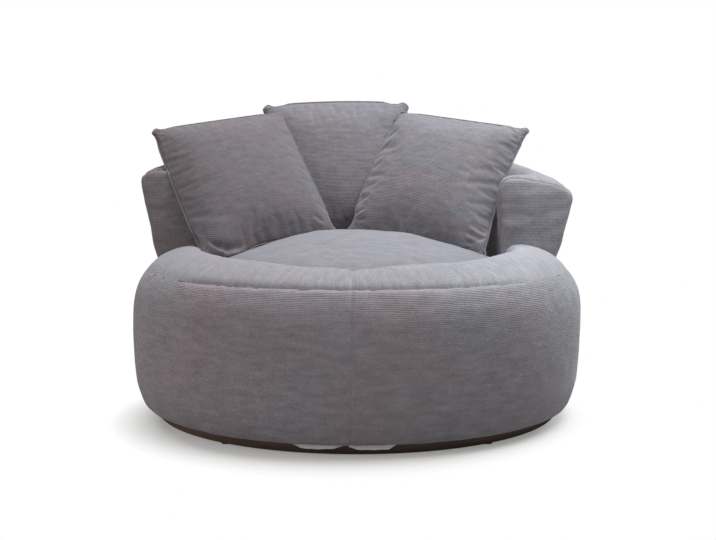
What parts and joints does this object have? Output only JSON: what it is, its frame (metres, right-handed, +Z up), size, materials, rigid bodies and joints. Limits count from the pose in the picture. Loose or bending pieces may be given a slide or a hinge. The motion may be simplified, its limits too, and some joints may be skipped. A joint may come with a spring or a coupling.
{
  "type": "pouf chair",
  "caption": "Round upholstered swivel chair: padded drum on a dark plinth, low wrap-around back, domed seat cushion in a well and loose square scatter pillows.",
  "frame": {"origin": "centre of the plinth's footprint on the floor, on the swivel axis", "axes": "+Z up along the swivel axis, -Y towards the open front of the seat, +X to the sitter's left"},
  "size_m": [1.3126, 1.313, 0.9178],
  "materials": {
    "cord_fabric": "mid-grey fine needlecord velvet",
    "lining": "pale non-woven lining",
    "foam": "polyurethane foam",
    "fibre": "polyester fibre filling",
    "felt": "pressed felt",
    "webbing": "woven elastic webbing",
    "dark_wood": "dark brown stained satin",
    "plywood": "raw birch plywood",
    "zinc_steel": "zinc plated",
    "nylon": "matt moulded"
  },
  "bodies": {
    "plinth": {"plinth_ring": "dark_wood", "plinth_board": "plywood", "floor_glide_1": "nylon", "floor_glide_2": "nylon", "floor_glide_3": "nylon", "floor_glide_4": "nylon", "floor_glide_5": "nylon", "swivel_lower_plate": "zinc_steel", "swivel_pivot": "zinc_steel", "lower_plate_screw_1": "zinc_steel", "lower_plate_screw_2": "zinc_steel", "lower_plate_screw_3": "zinc_steel"},
    "ball_cage": {"ball_race": "zinc_steel"},
    "drum": {"swivel_upper_plate": "zinc_steel", "upper_plate_screw_1": "zinc_steel", "upper_plate_screw_2": "zinc_steel", "upper_plate_screw_3": "zinc_steel", "base_board": "plywood", "drum_wall": "plywood", "frame_stud_1": "plywood", "frame_stud_2": "plywood", "frame_stud_3": "plywood", "frame_stud_4": "plywood", "frame_stud_5": "plywood", "frame_stud_6": "plywood", "rim_board": "plywood", "seat_webbing": "webbing", "deck_felt": "felt", "dust_cover": "lining", "drum_foam_side": "foam", "drum_foam_top": "foam", "drum_cover_side_left": "cord_fabric", "drum_cover_side_right": "cord_fabric", "drum_cover_top_left": "cord_fabric", "drum_cover_top_right": "cord_fabric", "hem_lining": "lining", "back_bottom_rail": "plywood", "back_top_rail": "plywood", "back_shell": "plywood", "back_post_left": "plywood", "back_post_rear": "plywood", "back_post_right": "plywood", "back_foam": "foam", "back_cover_inside": "cord_fabric", "back_cover_outside": "cord_fabric", "back_facing_left": "cord_fabric", "back_facing_right": "cord_fabric"},
    "seat_cushion": {"seat_cushion_core": "foam", "seat_cushion_top_panel": "cord_fabric", "seat_cushion_bottom_panel": "cord_fabric"},
    "left_pillow": {"left_pillow_front_panel": "cord_fabric", "left_pillow_back_panel": "cord_fabric", "left_pillow_insert": "fibre"},
    "right_pillow": {"right_pillow_front_panel": "cord_fabric", "right_pillow_back_panel": "cord_fabric", "right_pillow_insert": "fibre"},
    "centre_pillow": {"centre_pillow_front_panel": "cord_fabric", "centre_pillow_back_panel": "cord_fabric", "centre_pillow_insert": "fibre"}
  },
  "joints": [
    {"name": "swivel", "type": "hinge", "parent": "plinth", "child": "drum", "pos_m": [0, 0, 0.0606], "axis": [0, 0, 1], "continuous": true},
    {"name": "ball_cage_turn", "type": "hinge", "parent": "plinth", "child": "ball_cage", "pos_m": [0, 0, 0.0606], "axis": [0, 0, 1], "continuous": true},
    {"name": "seat_cushion_lift", "type": "slide", "parent": "drum", "child": "seat_cushion", "axis": [0, 0, 1], "range_m": [0, 0.45]},
    {"name": "centre_pillow_lift", "type": "slide", "parent": "seat_cushion", "child": "centre_pillow", "axis": [0, 0, 1], "range_m": [0, 0.45]},
    {"name": "left_pillow_lift", "type": "slide", "parent": "centre_pillow", "child": "left_pillow", "axis": [0, 0, 1], "range_m": [0, 0.5]},
    {"name": "right_pillow_lift", "type": "slide", "parent": "centre_pillow", "child": "right_pillow", "axis": [0, 0, 1], "range_m": [0, 0.5]}
  ],
  "couplings": [
    {"joint": "ball_cage_turn", "follows": "swivel", "ratio": 0.5}
  ]
}
